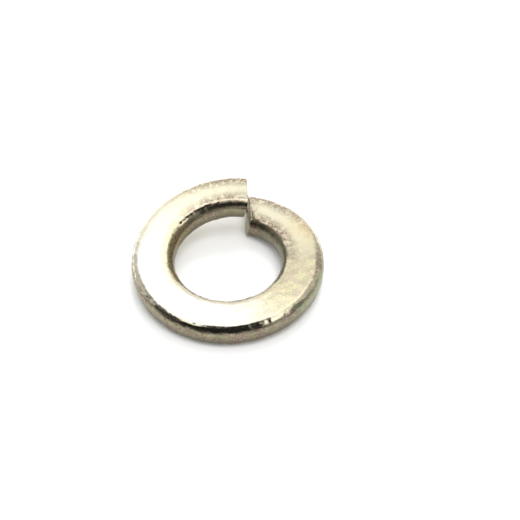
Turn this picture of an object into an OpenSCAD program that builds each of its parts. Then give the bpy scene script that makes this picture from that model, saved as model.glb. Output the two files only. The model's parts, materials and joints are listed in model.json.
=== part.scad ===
// Spring lock washer for a 10 mm bolt: one turn of flat spring wire, coiled on edge, sheared
// through on a slant beside its centre line, and set so that its two sharp ends stand apart.
// The hole's axis points up, through the origin, and the lowest edge is at height 0.

/* [Ring] */
// Diameter of the hole, a free fit on the bolt
bore_d = 10.2; // [7:0.1:16]
// Width of the wire, from the hole to the rim
band_w = 4; // [2.5:0.05:5]
// Thickness of the wire
thickness = 2.35; // [1.4:0.05:3.2]
// Radius of the wire's four rounded edges
edge_r = 0.88; // [0.2:0.02:1.1]

/* [Set of the ends] */
// Height by which the raised end stands above the low one
rise = 2.65; // [2.4:0.05:5]
// Share by which the ring climbs faster beside the cut than an even helix does
end_lead = 0.55; // [0:0.05:0.8]

/* [Cut] */
// Distance from the axis to the cut, at half the thickness: the shear missed the centre
cut_offset = 2; // [0.5:0.1:2.8]
// Slant of the sheared faces from upright
cut_slant = 16; // [4:1:26]
// Play between the two sheared faces, seen from above
cut_gap = 0.1; // [0.05:0.05:0.8]

/* [Smoothness] */
// Steps around the turn
turn_steps = 96; // [48:12:132]
// Steps around each rounded edge
edge_steps = 4; // [3:1:6]

/* [Hidden] */

bore_r = bore_d / 2;
rim_r = bore_r + band_w;
half_t = thickness / 2;
// An edge's rounding can't be more than its wire holds
round_r = min(edge_r, 0.4 * thickness, 0.4 * band_w);
// The roundings meet the hole's wall and the rim at this small angle, so each crosses it cleanly
blend = 15;
// Direction of the cut at the middle of the band
cut_az = acos(cut_offset / (bore_r + band_w / 2));
steel = [0.86, 0.84, 0.76];

// One rounded edge of the section as [radius, height] points around [cr, cz]
function round_edge(cr, cz, from, to) = [
    for (i = [0:edge_steps])
        let (a = from + (to - from) * i / edge_steps)
        [cr + round_r * cos(a), cz + round_r * sin(a)]
];

// The side of the section between two roundings, as one point beyond the hole's wall or the rim,
// where the two roundings' end tangents meet. The bore and the rim then cut it off.
side_reach = (half_t - round_r + round_r * sin(blend)) * tan(blend) - round_r * (1 - cos(blend));

// Section of the wire, counterclockwise from the rim over the top to the hole and back below
section = concat(
    [[rim_r + side_reach, 0]],
    round_edge(rim_r - round_r, half_t - round_r, blend, 90),
    round_edge(bore_r + round_r, half_t - round_r, 90, 180 - blend),
    [[bore_r - side_reach, 0]],
    round_edge(bore_r + round_r, round_r - half_t, 180 + blend, 270),
    round_edge(rim_r - round_r, round_r - half_t, 270, 360 - blend)
);
corners = len(section);

// Direction of a sheared face at one point of the section. The faces are parallel to Y as seen
// from above, and lean towards +X going up. Side -1 is the raised end's face, and 1 the low end's.
function face_az(p, side) = acos((cut_offset + side * cut_gap / 2 + p[1] * tan(cut_slant)) / p[0]);

// Height of the wire's middle above the middle of the set, from the raised end round to the low one
function climb(az) =
    let (turn = (az - cut_az) / 360)
    rise * (0.5 - turn - end_lead * sin(360 * turn) / (2 * PI));

// Point of the ring at a step of the turn
function ring_point(p, step) =
    let (
        start = face_az(p, -1),
        stop = 360 + face_az(p, 1),
        az = start + (stop - start) * step / turn_steps
    )
    [p[0] * cos(az), p[0] * sin(az), p[1] + climb(az)];

ring_points = [for (step = [0:turn_steps]) for (p = section) ring_point(p, step)];
lowest = min([for (p = ring_points) p[2]]);

// Two triangles for each patch of the ring's skin
skin_faces = [
    for (step = [0:turn_steps - 1])
        for (i = [0:corners - 1])
            let (
                next = (i + 1) % corners,
                here = step * corners,
                ahead = here + corners
            )
            each [
                [here + i, here + next, ahead + i],
                [here + next, ahead + next, ahead + i]
            ]
];

// The two sheared faces
raised_end = [for (i = [corners - 1:-1:0]) i];
low_end = [for (i = [0:corners - 1]) turn_steps * corners + i];

// The wire coiled into its single open turn, before the hole and the rim are trued
module coiled_wire() {
    polyhedron(
        points = [for (p = ring_points) [p[0], p[1], p[2] - lowest]],
        faces = concat(skin_faces, [raised_end, low_end]),
        convexity = 6
    );
}

// The washer: the coiled wire with a round rim and a round hole
module lock_washer() {
    height = rise + 2 * thickness;
    color(steel)
        difference() {
            intersection() {
                coiled_wire();
                translate([0, 0, -thickness])
                    cylinder(r = rim_r, h = height + thickness, $fn = 216);
            }
            translate([0, 0, -2 * thickness])
                cylinder(r = bore_r, h = height + 3 * thickness, $fn = 216);
        }
}

lock_washer();
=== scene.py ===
import json
import math

import bpy
import numpy as np
from mathutils import Matrix, Vector, noise


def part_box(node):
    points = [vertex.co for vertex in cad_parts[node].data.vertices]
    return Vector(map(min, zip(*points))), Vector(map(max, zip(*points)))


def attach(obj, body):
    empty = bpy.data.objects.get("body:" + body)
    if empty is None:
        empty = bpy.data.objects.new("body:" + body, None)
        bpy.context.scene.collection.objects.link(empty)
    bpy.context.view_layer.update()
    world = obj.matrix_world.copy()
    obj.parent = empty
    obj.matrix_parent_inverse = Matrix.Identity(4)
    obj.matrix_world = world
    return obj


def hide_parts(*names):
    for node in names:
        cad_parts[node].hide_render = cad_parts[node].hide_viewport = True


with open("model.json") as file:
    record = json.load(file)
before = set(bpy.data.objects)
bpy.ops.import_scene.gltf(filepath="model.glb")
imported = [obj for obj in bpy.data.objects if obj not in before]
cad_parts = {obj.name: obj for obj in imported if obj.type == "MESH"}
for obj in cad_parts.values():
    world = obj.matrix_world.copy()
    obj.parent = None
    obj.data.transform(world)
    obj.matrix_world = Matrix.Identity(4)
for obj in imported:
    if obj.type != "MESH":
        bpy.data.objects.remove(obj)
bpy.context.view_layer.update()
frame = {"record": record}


# The wire ring. The real piece is rectangular spring-steel wire with rolled, rounded edges,
# coiled on edge into a single open turn that climbs like a screw from its low end to its
# raised end. It is drawn here as one section carried round the turn.

MM = 0.001
box_low, box_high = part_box("lock_washer")
bore_mount = next(m for m in frame["record"]["mounts"] if m["name"] == "bore")
rim_r = (box_high.x - box_low.x) / 2
bore_r = bore_mount["dims"]["r_mm"] * MM
half_w = (rim_r - bore_r) / 2
mid_r = bore_r + half_w
half_t = 2.35 * MM / 2
edge_r = 0.88 * MM
rise = 2.65 * MM
end_lead = 0.55

# The shear passes beside the axis, parallel to Y, and leans towards +X going up
cut_offset = 2.0 * MM
cut_lean = math.tan(math.radians(16))
cut_gap = 0.1 * MM
cut_az = math.acos(cut_offset / mid_r)
sheared_edge_r = 0.10 * MM

turn_steps = 720
corner_steps = 14
face_steps = 20
wall_steps = 8


def wire_section():
    """The wire's outline from the rim's middle over the top to the hole and back below it,
    as offsets p outward and q upward from the wire's middle, with the outward direction."""
    core_w = half_w - edge_r
    core_t = half_t - edge_r
    rows = []

    def straight(start, end, facing, steps):
        for i in range(steps):
            share = i / steps
            rows.append(
                (
                    start[0] + (end[0] - start[0]) * share,
                    start[1] + (end[1] - start[1]) * share,
                    facing,
                )
            )

    def corner(middle, facing):
        for i in range(corner_steps):
            angle = facing + math.pi / 2 * i / corner_steps
            rows.append(
                (
                    middle[0] + edge_r * math.cos(angle),
                    middle[1] + edge_r * math.sin(angle),
                    angle,
                )
            )

    quarter = math.pi / 2
    straight((half_w, 0), (half_w, core_t), 0, wall_steps // 2)
    corner((core_w, core_t), 0)
    straight((core_w, half_t), (-core_w, half_t), quarter, face_steps)
    corner((-core_w, core_t), quarter)
    straight((-half_w, core_t), (-half_w, -core_t), 2 * quarter, wall_steps)
    corner((-core_w, -core_t), 2 * quarter)
    straight((-core_w, -half_t), (core_w, -half_t), 3 * quarter, face_steps)
    corner((core_w, -core_t), 3 * quarter)
    straight((half_w, -core_t), (half_w, 0), 0, wall_steps // 2)
    return np.array(rows).T


def climb(az):
    """Height of the wire's middle above the middle of its set, steeper beside the cut."""
    turn = (az - cut_az) / math.tau
    return rise * (0.5 - turn - end_lead * np.sin(math.tau * turn) / math.tau)


def face_az(p, q, side, back):
    """Direction of a sheared face, or of a surface that lies back from it inside the wire.
    Side -1 is the raised end's face, and 1 is the low end's."""
    x = cut_offset + side * (cut_gap / 2 + back) + q * cut_lean
    return np.arccos(x / (mid_r + p))


def place(p, q, az):
    """Points in space for offsets in the wire's section at a direction round the turn."""
    r = mid_r + p
    return np.stack([r * np.cos(az), r * np.sin(az), q + climb(az)], axis=-1)


def grain(points, size, seed):
    """Smooth noise at each point, from about -1 to 1, with bumps of about that size."""
    shift = Vector((seed, 2.3 * seed, 3.7 * seed))
    return np.array([noise.noise(Vector(point) / size + shift) for point in points])


sec_p, sec_q, sec_angle = wire_section()
corners = len(sec_p)
rows = np.arange(turn_steps + 1)[:, None] / turn_steps
start_az = face_az(sec_p, sec_q, -1, sheared_edge_r)
stop_az = math.tau + face_az(sec_p, sec_q, 1, sheared_edge_r)
row_az = start_az + (stop_az - start_az) * rows
skin = place(sec_p, sec_q, row_az)
lift = box_low.z - place(sec_p, sec_q, math.tau + face_az(sec_p, sec_q, 1, 0))[:, 2].min()
skin[..., 2] += lift

# Rolling, coiling and tumbling leave the wire slightly uneven, most of all at its edges
out_p = np.cos(sec_angle)
out_q = np.sin(sec_angle)
wall_share = np.abs(out_p)
edge_share = np.abs(2 * out_p * out_q)
flat = skin.reshape(-1, 3)
rolled = 0.014 * MM * grain(flat, 3.1 * MM, 11).reshape(skin.shape[:2])
tumbled = 0.030 * MM * grain(flat, 0.8 * MM, 23).reshape(skin.shape[:2])
pitted = 0.018 * MM * grain(flat, 0.42 * MM, 37).reshape(skin.shape[:2])
uneven = (
    rolled
    + tumbled * (0.25 + 0.75 * np.maximum(wall_share, edge_share))
    + pitted * (0.05 + 0.95 * edge_share)
)

# Knocks against other washers in the barrel dent the rounded edges here and there
knocks = np.random.default_rng(8)
knock_count = 34
for _ in range(knock_count):
    quarter_turn = knocks.integers(0, 4)
    on_edge = np.argmin(np.abs(sec_angle - (quarter_turn + knocks.uniform(0.2, 0.8)) * math.pi / 2))
    at = skin[knocks.integers(8, turn_steps - 8), on_edge]
    size = knocks.uniform(0.14, 0.34) * MM
    depth = knocks.uniform(0.010, 0.035) * MM
    apart = np.linalg.norm(skin - at, axis=2)
    uneven -= depth * np.exp(-((apart / size) ** 2))

radial = np.stack([np.cos(row_az), np.sin(row_az), np.zeros_like(row_az)], axis=-1)
upward = np.array([0.0, 0.0, 1.0])
outward = radial * out_p[:, None] + upward * out_q[:, None]
skin = skin + outward * uneven[..., None]


# The film, the stains and painted shade. The yellow bath leaves a film on the zinc, thin where the
# washers rub on each other and thick on the walls, and it dries brown along the edges. The walls'
# darker tone is partly painted shade, and more painted shade, a painted reflection and a painted
# highlight are added below. These are the shares at each point of the skin: how much film and
# painted shade, how much stain and painted reflection, and how much of the darkest film and
# painted shade.

# from_side is 0 at the wire's side and 1 where its rounded edge runs out into the flat face
rim_side = sec_p > 0
hole_side = sec_p < 0
top_side = sec_q > 0
level = 0.02
faces_hole = out_p < -level
faces_down = out_q < -level
from_side = (half_w - np.abs(sec_p)) / edge_r


def edge_spot(az, az_width, at, width):
    """A soft spot on the upper rounded edges: 1 in its middle, which is at az degrees round the
    turn and as far from the wire's side as at says."""
    off_az = (row_az - math.radians(az)) / math.radians(az_width)
    return np.exp(-(off_az**2) - ((from_side - at) / width) ** 2) * top_side


# Brown stains lie along the borders of the flat faces, and are strongest near the cut. The
# raised end's border is rubbed bright on the hole's side.
fades_from = np.where(hole_side, 1.1, 0.9)
border = 1 - np.clip(from_side - fades_from, 0, 1)
rim_stain_az = 72
raised_stain_az = 80
low_stain_az = 52
stain_az = np.where(row_az < math.pi, raised_stain_az, low_stain_az)
stain_az = np.where(rim_side, rim_stain_az, stain_az)
near_cut = np.cos(row_az - np.radians(stain_az))
stains_and_cut_reflection = np.clip(np.where(rim_side, 2.2 * near_cut - 1.1, 1.6 * near_cut - 0.42), 0, 1)
rubbed_at = 0.80
rubbed_width = 0.16
rubbed_end_az = math.radians(130)
rubbed = np.clip(1 - np.abs(from_side - rubbed_at) / rubbed_width, 0, 1)
rubbed = rubbed * hole_side * (row_az < rubbed_end_az)
faintest = 0.12
stains_and_cut_reflection = border * (faintest + (1 - faintest) * stains_and_cut_reflection) * (1 - 0.9 * rubbed)

# The low end is darkened right across its top beside the cut, a painted reflection of the raised
# end's dark sheared face, and the rim's edge on the right is stained
from_cut = (stop_az - row_az) * mid_r
cut_reflection_reach = 0.75 * MM
# Painted reflection of the raised end's sheared face on the low end's top
stains_and_cut_reflection = np.maximum(stains_and_cut_reflection, np.clip(1.1 - from_cut / cut_reflection_reach, 0, 1) * top_side)
right_az = (row_az - math.radians(350)) / math.radians(20)
right_edge = 0.8 * np.exp(-(right_az**2)) * np.clip((1.1 - from_side) / 0.3, 0, 1)
stains_and_cut_reflection = np.maximum(stains_and_cut_reflection, right_edge * rim_side * top_side)

# The film is thick on the walls, more so in the hole and at the front's two sides, and on the
# walls it is partly painted shade. On the faces turned down it adds painted shade. It is thinned on
# one spot of the hole's upper edge, where the pale face colour shows as a painted highlight, and
# caked on one spot of the rim's.
in_hole = np.clip((0.75 + np.sin(row_az)) / 0.2, 0.4, 1) * faces_hole
at_sides = 0.16 * np.abs(np.sin(2 * row_az)) * (np.sin(row_az) < 0) * rim_side
hole_film = 0.40
# Painted shade on the faces turned down
underside_shade = 0.25
film_and_shade = wall_share * (1.0 + at_sides) + hole_film * in_hole + underside_shade * faces_down
# Painted highlight: the film is thinned here so the pale face colour shows
painted_highlight_spot = 0.6 * edge_spot(az=137, az_width=7, at=0.60, width=0.18) * hole_side
caked = 0.45 * edge_spot(az=314, az_width=4.5, at=0.40, width=0.24) * rim_side
film_and_shade = np.clip(film_and_shade - painted_highlight_spot + caked, 0, 1)

# The darkest tone lies low on the walls and in the hole's right as painted shade, and also in the
# hole's front and on one spot of the hole's upper edge.
# Painted shade: the walls darker towards the bottom
painted_low_wall_shade = np.clip(0.36 - 1.3 * sec_q / half_t, 0, 1)
hole_front = np.clip((-0.70 - np.sin(row_az)) / 0.15, 0, 1) * faces_hole
# Painted shade in the hole's right, where the wall mirrors the shaded floor
painted_hole_right_shade = 0.35 * np.clip((0.5 + np.cos(row_az)) / 0.4, 0, 1) * faces_hole
painted_hole_right_shade = painted_hole_right_shade * (row_az > math.radians(270))
darkest_spot = 0.95 * edge_spot(az=128, az_width=10, at=0.24, width=0.18) * hole_side
darkest_and_painted_shade = np.maximum(np.maximum(painted_low_wall_shade, hole_front), np.maximum(painted_hole_right_shade, darkest_spot))


# The sheared ends. The coil is cut into washers by one slanting stroke of a shear. Each face
# has a drawn-over edge, a smooth part with upright score lines, and below it the coarser
# part where the steel broke. Each cap carries on from the last row of the ring's skin.

turned_rows = 4
broken_rows = 16
# The steel broke below this height in the wire on the raised end, and above it on the low end
break_height_mm = -0.15
break_sharpness = 9
score_depth = 0.010 * MM
coarse_depth = 0.040 * MM
crumbled_depth = 0.018 * MM
break_depth = 0.02 * MM


def sheared_cap(side, skin_row):
    """Rows of points from the skin's last row in over the sheared face to its middle line."""
    core = np.clip(sec_p, half_t - half_w, half_w - half_t)
    reach = np.hypot(sec_p - core, sec_q)
    off = skin_row - place(sec_p, sec_q, face_az(sec_p, sec_q, side, sheared_edge_r))
    off[:, 2] -= lift
    cap = []
    for i in range(1, turned_rows + broken_rows + 1):
        if i <= turned_rows:
            angle = math.pi / 2 * i / turned_rows
            inset = sheared_edge_r * (1 - math.cos(angle)) / reach
            back = sheared_edge_r * (1 - math.sin(angle))
        else:
            first = sheared_edge_r / reach
            inset = first + (1 - first) * (i - turned_rows) / broken_rows
            back = 0.0
        p = core + (sec_p - core) * (1 - inset)
        q = sec_q * (1 - inset)
        points = place(p, q, face_az(p, q, side, back))
        points[:, 2] += lift
        deep = min(1.0, max(0.0, (i - turned_rows) / 3))
        broken = 1 / (1 + np.exp(-side * (q / MM - break_height_mm) * break_sharpness))
        scores = np.stack([p, np.zeros_like(p), np.zeros_like(p)], axis=-1)
        rough = score_depth * grain(scores, 0.13 * MM, 5) * (1 - broken)
        rough += coarse_depth * grain(points, 0.34 * MM, 51) * broken
        rough += crumbled_depth * grain(points, 0.16 * MM, 67) * broken
        points += off * (1 - inset)[:, None]
        points[:, 0] += side * deep * (rough + break_depth * broken)
        cap.append(points)
    return cap, core


# The mesh carries its finish in four numbers at each point: film and painted shade, sheared face,
# stain and painted reflection, and darkest film and painted shade.
points = list(map(tuple, skin.reshape(-1, 3)))
finish = [(w, 0.0, b, d) for w, b, d in zip(film_and_shade.flat, stains_and_cut_reflection.flat, darkest_and_painted_shade.flat)]
faces = []
for row in range(turn_steps):
    for i in range(corners):
        here = row * corners
        ahead = here + corners
        nxt = (i + 1) % corners
        faces.append((here + i, ahead + i, ahead + nxt, here + nxt))

for side, row in ((-1, 0), (1, turn_steps)):
    cap, core = sheared_cap(side, skin[row])
    last = [row * corners + i for i in range(corners)]
    for number, cap_row in enumerate(cap):
        on_face = min(1.0, (number + 1) / turned_rows)
        if number < len(cap) - 1:
            ids = [len(points) + i for i in range(corners)]
            points.extend(map(tuple, cap_row))
            finish.extend((w, on_face, b, 0.0) for w, b in zip(film_and_shade[row], border))
        else:
            middles, which = np.unique(np.round(core / MM, 6), return_inverse=True)
            ids = [len(points) + int(i) for i in which]
            for middle in range(len(middles)):
                points.append(tuple(cap_row[which == middle].mean(axis=0)))
                finish.append((0.0, 1.0, 0.0, 0.0))
        for i in range(corners):
            nxt = (i + 1) % corners
            patch = [last[i], last[nxt], ids[nxt], ids[i]]
            if side > 0:
                patch.reverse()
            faces.append([v for k, v in enumerate(patch) if v != patch[k - 1]])
        last = ids

washer_mesh = bpy.data.meshes.new("washer")
washer_mesh.from_pydata(points, [], faces)
washer_mesh.update()
washer_mesh.polygons.foreach_set("use_smooth", [True] * len(washer_mesh.polygons))
layer = washer_mesh.color_attributes.new("finish", "FLOAT_COLOR", "POINT")
layer.data.foreach_set("color", [c for f in finish for c in f])
washer = bpy.data.objects.new("washer", washer_mesh)
bpy.context.scene.collection.objects.link(washer)


# The plating. The steel is zinc plated and dipped in a pale yellow passivate: bright and
# cream-coloured on the rubbed flat faces, and a dull, mottled brown and olive where the film
# has lain thicker, on the rim and in the hole; how dark that brown is, is partly painted shade.
# The sheared faces are grey.


class Graph:
    """A material's nodes, added one at a time and joined by their inputs' names."""

    def __init__(self, tree):
        self.tree = tree

    def add(self, kind, settings=None, **inputs):
        node = self.tree.nodes.new("ShaderNode" + kind)
        for name, value in (settings or {}).items():
            setattr(node, name, value)
        for name, value in inputs.items():
            numbered = name[0] == "i" and name[1:].isdigit()
            key = int(name[1:]) if numbered else name.replace("_", " ")
            if isinstance(value, bpy.types.NodeSocket):
                self.tree.links.new(value, node.inputs[key])
            else:
                node.inputs[key].default_value = value
        return node

    def mix(self, share, first, second):
        """One colour or the other, by a share from 0 to 1."""
        node = self.add("Mix", {"data_type": "RGBA"})
        for number, value in ((0, share), (6, first), (7, second)):
            socket = node.inputs[number]
            if isinstance(value, bpy.types.NodeSocket):
                self.tree.links.new(value, socket)
            elif isinstance(value, tuple):
                socket.default_value = (*value, 1.0)
            else:
                socket.default_value = value
        return node.outputs[2]

    def stretch(self, value, low, high, out_low=0.0, out_high=1.0):
        """The value's range from low to high, spread over another range and held at its ends."""
        node = self.add(
            "MapRange", {"interpolation_type": "SMOOTHSTEP"},
            Value=value, From_Min=low, From_Max=high, To_Min=out_low, To_Max=out_high,
        )
        return node.outputs[0]

    def clouds(self, where, per_mm, detail=3.0, roughness=0.55):
        """Soft noise over the surface, with that many clouds in each millimetre."""
        node = self.add(
            "TexNoise", Vector=where, Scale=per_mm, Detail=detail, Roughness=roughness
        )
        return node.outputs["Fac"]

    def calculate(self, operation, *values):
        """A sum, product or the like of numbers and sockets."""
        inputs = {"i%d" % number: value for number, value in enumerate(values)}
        return self.add("Math", {"operation": operation}, **inputs).outputs[0]

    def distance(self, where, spot):
        """How far each place is from one spot."""
        node = self.add("VectorMath", {"operation": "DISTANCE"}, i0=where, i1=spot)
        return node.outputs["Value"]


plate = bpy.data.materials.new("yellow_passivated_zinc")
plate.use_nodes = True
plate.node_tree.nodes.clear()
g = Graph(plate.node_tree)
place_mm = g.add(
    "VectorMath", {"operation": "SCALE"},
    i0=g.add("TexCoord").outputs["Object"], Scale=1 / MM,
).outputs[0]
finish_read = g.add("Attribute", {"attribute_name": "finish"})
shares = g.add("SeparateColor", i0=finish_read.outputs["Color"])
on_wall, on_cut, on_stain_and_reflection = (shares.outputs[k] for k in range(3))
on_darkest_and_painted_shade = finish_read.outputs["Alpha"]
place_xyz = g.add("SeparateXYZ", i0=place_mm)
rightward = place_xyz.outputs["X"]
backward = place_xyz.outputs["Y"]

broad = g.clouds(place_mm, 0.55, 3.0)
drift = g.clouds(place_mm, 0.9, 2.0)
patches = g.clouds(place_mm, 1.7, 4.0, 0.6)
speckle = g.clouds(place_mm, 5.5, 4.0, 0.65)
flecks = g.clouds(place_mm, 8.0, 2.0, 0.5)

# The flat faces are pale in front and creamier towards the back, with tan and khaki clouds
pale = (0.95, 0.92, 0.82)
cream = (0.95, 0.89, 0.67)
tan = (0.84, 0.72, 0.56)
khaki = (0.74, 0.72, 0.48)
creamy = g.calculate("MULTIPLY_ADD", broad, 6.0, backward)
face_tone = g.mix(g.stretch(creamy, 2.0, 9.0), pale, cream)
face_tone = g.mix(g.stretch(patches, 0.50, 0.70, 0.0, 0.45), face_tone, tan)
face_tone = g.mix(g.stretch(speckle, 0.54, 0.72, 0.0, 0.4), face_tone, khaki)

# The bath drained off the washer on the right, and left a thicker, finely mottled film there
honey = (0.87, 0.79, 0.50)
clay = (0.62, 0.57, 0.41)
moss = (0.54, 0.60, 0.33)
shell_pink = (0.92, 0.74, 0.60)
fawn = (0.78, 0.65, 0.50)
drained_spot = (7.6, -4.2, 2.5)
from_drained = g.distance(place_mm, drained_spot)
drained = g.calculate("MULTIPLY_ADD", broad, -5.0, from_drained)
thick = g.mix(g.stretch(patches, 0.38, 0.62), honey, clay)
thick = g.mix(g.stretch(speckle, 0.46, 0.62, 0.0, 0.7), thick, moss)
thick = g.mix(g.stretch(flecks, 0.50, 0.64, 0.0, 0.6), thick, shell_pink)
thick = g.mix(g.stretch(drift, 0.50, 0.64, 0.0, 0.7), thick, fawn)
face_tone = g.mix(g.stretch(drained, 0.0, 7.5, 1.0, 0.0), face_tone, thick)

# A lemon tint beside the hole on the left
lemon = (0.93, 0.92, 0.44)
turn_middle = (0.0, 0.0, 3.2)
from_axis = g.distance(place_mm, turn_middle)
by_hole = g.calculate("MULTIPLY_ADD", speckle, 3.0, from_axis)
by_hole = g.stretch(by_hole, 7.3, 8.1, 0.75, 0.0)
left_face = g.stretch(rightward, -5.5, -3.5, 1.0, 0.0)
face_tone = g.mix(g.calculate("MULTIPLY", by_hole, left_face), face_tone, lemon)

# A straw-coloured spot, peach in its middle, at the rim right of the low end
straw = (0.96, 0.88, 0.57)
peach = (0.95, 0.73, 0.42)
peach_spot = (8.2, 3.5, 2.2)
from_peach = g.calculate("MULTIPLY_ADD", patches, -3.0, g.distance(place_mm, peach_spot))
face_tone = g.mix(g.stretch(from_peach, 0.4, 2.6, 0.6, 0.0), face_tone, straw)
face_tone = g.mix(g.stretch(from_peach, -0.8, 0.7, 0.7, 0.0), face_tone, peach)

# The rounded edges are a little darker, least of all at the back left
sand = (0.82, 0.74, 0.54)
back_left = (-0.7, 0.7, 0.0)
to_back_left = g.add("VectorMath", {"operation": "DOT_PRODUCT"}, i0=place_mm, i1=back_left)
spared = g.stretch(to_back_left.outputs["Value"], 3.0, 7.0, 0.0, 0.34)
rounding = g.calculate("SUBTRACT", g.calculate("MULTIPLY_ADD", speckle, 0.5, on_wall), spared)
face_tone = g.mix(g.stretch(rounding, 0.42, 0.72, 0.0, 0.7), face_tone, sand)

# The stains along the borders, and with them the painted reflection beside the low end's cut
umber = (0.32, 0.20, 0.16)
straw_brown = (0.58, 0.54, 0.38)
stain_and_reflection_tone = g.mix(g.stretch(speckle, 0.42, 0.60), umber, straw_brown)
stain_and_reflection_share = g.calculate("MULTIPLY", on_stain_and_reflection, g.stretch(patches, 0.32, 0.54, 0.15, 1.0))
face_tone = g.mix(stain_and_reflection_share, face_tone, stain_and_reflection_tone)

# The walls are brown and olive, ochre in the hole's left side and greener on the right; their
# darkness is partly painted shade
brown = (0.17, 0.12, 0.09)
olive = (0.27, 0.26, 0.16)
rose_brown = (0.46, 0.35, 0.30)
bottle_green = (0.23, 0.24, 0.14)
wall_tone = g.mix(g.stretch(patches, 0.40, 0.60), brown, olive)
wall_tone = g.mix(g.stretch(speckle, 0.48, 0.62, 0.0, 0.85), wall_tone, rose_brown)
wall_tone = g.mix(g.stretch(drift, 0.46, 0.60, 0.0, 0.45), wall_tone, bottle_green)
dark_ochre = (0.20, 0.13, 0.05)
light_ochre = (0.42, 0.35, 0.19)
left_side = g.stretch(rightward, -5.0, -2.5, 0.75, 0.0)
in_bore = g.stretch(from_axis, 5.5, 6.1, 1.0, 0.0)
ochre = g.mix(g.stretch(speckle, 0.42, 0.60), dark_ochre, light_ochre)
wall_tone = g.mix(g.calculate("MULTIPLY", left_side, in_bore), wall_tone, ochre)
sage = (0.27, 0.32, 0.19)
greener = g.calculate("MULTIPLY_ADD", patches, 10.0, rightward)
wall_tone = g.mix(g.stretch(greener, 8.0, 14.0, 0.0, 0.6), wall_tone, sage)
# The darkest tone, partly painted shade low on the walls and in the hole's right
darkest_shade_brown = (0.10, 0.09, 0.06)
wall_tone = g.mix(g.stretch(on_darkest_and_painted_shade, 0.0, 1.0, 0.0, 0.7), wall_tone, darkest_shade_brown)

# Face and wall meet along a ragged line. The sheared faces are bare grey steel, thinly plated.
ragged = g.calculate("MULTIPLY_ADD", speckle, 0.7, on_wall)
ragged = g.calculate("MULTIPLY_ADD", patches, 0.6, ragged)
tone = g.mix(g.stretch(ragged, 1.32, 1.56), face_tone, wall_tone)
dark_steel = (0.30, 0.30, 0.20)
light_steel = (0.46, 0.44, 0.36)
cut_tone = g.mix(g.stretch(speckle, 0.4, 0.62), dark_steel, light_steel)
tone = g.mix(on_cut, tone, cut_tone)

# The walls and the sheared faces are duller than the flat faces
dull = g.stretch(speckle, 0.3, 0.7, 0.09, 0.20)
dull = g.calculate("MULTIPLY_ADD", g.stretch(on_wall, 0.6, 1.0), 0.20, dull)
dull = g.calculate("MULTIPLY_ADD", on_cut, 0.12, dull)

# A fine crystalline grain all over, and soft ripples on the rounded edges
fine_depth = 0.005 * MM
ripple_depth = 0.030 * MM
fine = g.clouds(place_mm, 14.0, 2.0, 0.6)
bump = g.add("Bump", Height=fine, Strength=0.30, Distance=fine_depth)
ripple = g.clouds(place_mm, 1.5, 1.0, 0.5)
ripple_strength = g.stretch(on_wall, 0.02, 0.30, 0.10, 1.0)
bump = g.add(
    "Bump", Height=ripple, Strength=ripple_strength, Distance=ripple_depth,
    Normal=bump.outputs[0],
)
shader = g.add("BsdfPrincipled", Base_Color=tone, Roughness=dull, Normal=bump.outputs[0])
shader.inputs["Metallic"].default_value = 1.0
g.add("OutputMaterial", Surface=shader.outputs[0])
washer_mesh.materials.append(plate)

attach(washer, "root")
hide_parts("lock_washer")


# The table. The washer lies on a white table, on its low end's tip and on the far side of the
# turn, so the table leans a few degrees to the washer's own axis. It is white paper.


def lowest_plane(spots, above):
    """The plane under all the spots that comes highest at one place: (slope x, slope y, height)."""
    best = None
    centre = np.zeros(2)
    span = 0.3
    rounds = 16
    tries = 9
    for _ in range(rounds):
        for a in np.linspace(-span, span, tries) + centre[0]:
            for b in np.linspace(-span, span, tries) + centre[1]:
                base = (spots[:, 2] - a * spots[:, 0] - b * spots[:, 1]).min()
                height = base + a * above[0] + b * above[1]
                if best is None or height > best[0]:
                    best = (height, a, b, base)
        centre = np.array(best[1:3])
        span *= 0.45
    return best[1], best[2], best[3]


all_points = np.array(points)
weight_at = all_points.mean(axis=0)
lean_x, lean_y, table_z = lowest_plane(all_points, weight_at)

table_r = 0.9
table_sides = 96
table_mesh = bpy.data.meshes.new("table")
ring = [
    (table_r * math.cos(a), table_r * math.sin(a))
    for a in np.linspace(0, math.tau, table_sides, endpoint=False)
]
table_mesh.from_pydata(
    [(x, y, table_z + lean_x * x + lean_y * y) for x, y in ring], [], [list(range(table_sides))]
)
table = bpy.data.objects.new("table", table_mesh)
bpy.context.scene.collection.objects.link(table)
paper = bpy.data.materials.new("white_paper")
paper.use_nodes = True
paper.node_tree.nodes.clear()
g = Graph(paper.node_tree)
paper_white = (0.88, 0.88, 0.87, 1)
paper_glow = 0.02
paper_skin = g.add("BsdfPrincipled", Base_Color=paper_white, Roughness=0.9)
ray = g.add("LightPath").outputs
seen = g.calculate("MAXIMUM", ray["Is Camera Ray"], ray["Is Glossy Ray"])
seen = g.calculate("MAXIMUM", seen, ray["Is Transmission Ray"])
lifted = g.calculate("MULTIPLY", seen, paper_glow)
glow = g.add("Emission", Color=(1, 1, 1, 1), Strength=lifted)
both = g.add("AddShader", i0=paper_skin.outputs[0], i1=glow.outputs[0])
g.add("OutputMaterial", Surface=both.outputs[0])
table_mesh.materials.append(paper)


# The light. A white cloth tent stands round the washer, and only reflections see it: it is
# brightest on its far side, with the dark camera in front, a window beside that on the right
# and shaded side walls. Two round softboxes, above and behind, and a white sky light the table.


def ramp(value, soft):
    """From 0 to 1 as the value goes from below nothing to above it, over a soft width."""
    share = np.clip(value / soft + 0.5, 0, 1)
    return share * share * (3 - 2 * share)


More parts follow.
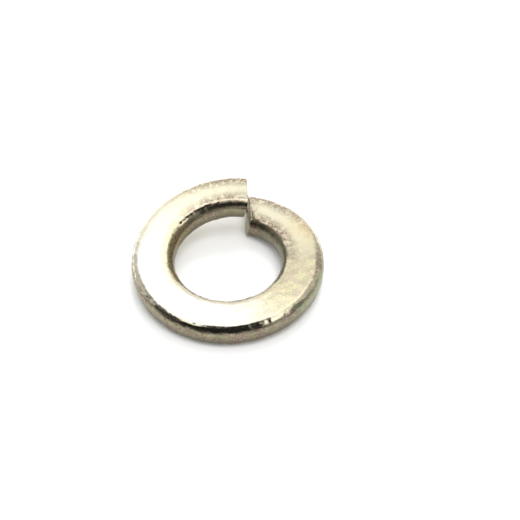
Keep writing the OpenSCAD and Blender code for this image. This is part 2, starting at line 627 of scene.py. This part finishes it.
def paint(tone, az, el, az_span, el_span, soft, brightness):
    """The tent's tones with one soft-edged patch painted over them. Spans are in degrees."""
    middle = (az_span[0] + az_span[1]) / 2
    off = np.abs((az - middle + 180) % 360 - 180)
    share = ramp((az_span[1] - az_span[0]) / 2 - off, soft)
    share = share * ramp(el - el_span[0], soft) * ramp(el_span[1] - el, soft)
    return tone + (brightness - tone) * share


def tent_tone(az, el):
    """Brightness of the surroundings at directions from +X and from the table, in degrees."""
    tone = np.full_like(az, 0.60)
    for az_span, el_span, soft, brightness in (
        # The far side, brighter the higher, and the top
        ((60, 134), (-30, 48), 14, 1.0),
        ((42, 136), (45, 99), 6, 1.12),
        ((42, 130), (51, 99), 6, 1.50),
        ((-200, 200), (62, 99), 6, 1.35),
        # The low front, the right wall, and the left wall with its folds
        ((190, 320), (-30, 14), 8, 0.46),
        ((334, 360), (10, 50), 6, 0.22),
        ((150, 184), (38, 52), 8, 0.42),
        ((152, 186), (48, 64), 6, 0.18),
        ((177, 218), (18, 60), 6, 0.05),
        # The window in front on the right
        ((314, 362), (51, 70), 4, 1.50),
        ((312, 346), (42, 60), 4, 1.60),
        ((313, 335), (26, 46), 5, 1.60),
        # The camera's dark side, and the tent's dark opening above it
        ((212, 314), (14, 99), 4, 0.014),
        ((300, 323), (51, 99), 4, 0.01),
        ((300, 338), (64, 99), 4, 0.01),
        ((-25, 102), (72, 99), 4, 0.01),
        ((98, 215), (78, 99), 4, 0.01),
    ):
        tone = paint(tone, az, el, az_span, el_span, soft, brightness)
    return tone


tent_r = 0.8
around = 240
tall = 64
tent_foot = -6
spots = []
panes = []
for i in range(tall + 1):
    el = math.radians(tent_foot + (90 - tent_foot) * i / tall)
    for k in range(around):
        az = math.tau * k / around
        spots.append((math.cos(el) * math.cos(az), math.cos(el) * math.sin(az), math.sin(el)))
        if i < tall:
            here = i * around
            above = here + around
            beside = (k + 1) % around
            panes.append((here + k, here + beside, above + beside, above + k))
spots = np.array(spots)
azimuths = np.degrees(np.arctan2(spots[:, 1], spots[:, 0])) % 360
tones = tent_tone(azimuths, np.degrees(np.arcsin(np.clip(spots[:, 2], -1, 1))))
tent_mesh = bpy.data.meshes.new("tent")
tent_mesh.from_pydata([tuple(spot * tent_r) for spot in spots], [], panes)
tone_layer = tent_mesh.color_attributes.new("tone", "FLOAT_COLOR", "POINT")
tone_layer.data.foreach_set("color", [c for t in tones for c in (t, t, t, 1.0)])
tent = bpy.data.objects.new("tent", tent_mesh)
bpy.context.scene.collection.objects.link(tent)
cloth = bpy.data.materials.new("tent_cloth")
cloth.use_nodes = True
cloth.node_tree.nodes.clear()
g = Graph(cloth.node_tree)
tone_socket = g.add("Attribute", {"attribute_name": "tone"}).outputs["Color"]
g.add("OutputMaterial", Surface=g.add("Emission", Color=tone_socket, Strength=1.0).outputs[0])
tent_mesh.materials.append(cloth)
tent.visible_camera = False
tent.visible_diffuse = False
tent.visible_shadow = False

world = bpy.data.worlds.new("studio")
bpy.context.scene.world = world
world.use_nodes = True
world.node_tree.nodes.clear()
g = Graph(world.node_tree)
sky = g.add("Background", Color=(1, 1, 1, 1), Strength=1.0)
g.add("OutputWorld", Surface=sky.outputs[0])

for name, size, energy, at in (
    ("softbox_above", 0.18, 0.44, (0.05, -0.05, 0.33)),
    ("softbox_behind", 0.20, 0.50, (0.05, 0.24, 0.25)),
):
    lamp_data = bpy.data.lights.new(name, "AREA")
    lamp_data.shape = "DISK"
    lamp_data.size = size
    lamp_data.energy = energy
    lamp = bpy.data.objects.new(name, lamp_data)
    lamp.location = at
    lamp.rotation_mode = "QUATERNION"
    lamp.rotation_quaternion = lamp.location.to_track_quat("Z", "Y")
    lamp.visible_glossy = False
    bpy.context.scene.collection.objects.link(lamp)


# The camera. It looks down on the washer at 51 degrees to its faces, a hand's breadth away,
# with the long lens that the photograph's mild perspective shows, rolled a few degrees.

camera_pitch = math.radians(51.01)
camera_roll = math.radians(-3.62)
camera_at = Vector((3.04, -65.53, 80.86)) * MM
focal_px = 1095.3
picture_px = 520.0

camera_data = bpy.data.cameras.new("camera")
camera_data.sensor_width = 36.0
camera_data.lens = focal_px / picture_px * camera_data.sensor_width
camera_data.clip_start = 0.005
camera_data.clip_end = 10.0
camera = bpy.data.objects.new("camera", camera_data)
level_right = Vector((1, 0, 0))
level_up = Vector((0, math.sin(camera_pitch), math.cos(camera_pitch)))
ahead = Vector((0, math.cos(camera_pitch), -math.sin(camera_pitch)))
right = level_right * math.cos(camera_roll) + level_up * math.sin(camera_roll)
up = level_up * math.cos(camera_roll) - level_right * math.sin(camera_roll)
camera.matrix_world = Matrix(
    (
        (right.x, up.x, -ahead.x, camera_at.x),
        (right.y, up.y, -ahead.y, camera_at.y),
        (right.z, up.z, -ahead.z, camera_at.z + lift),
        (0, 0, 0, 1),
    )
)
bpy.context.scene.collection.objects.link(camera)
bpy.context.scene.camera = camera
bpy.context.scene.view_settings.view_transform = "Standard"
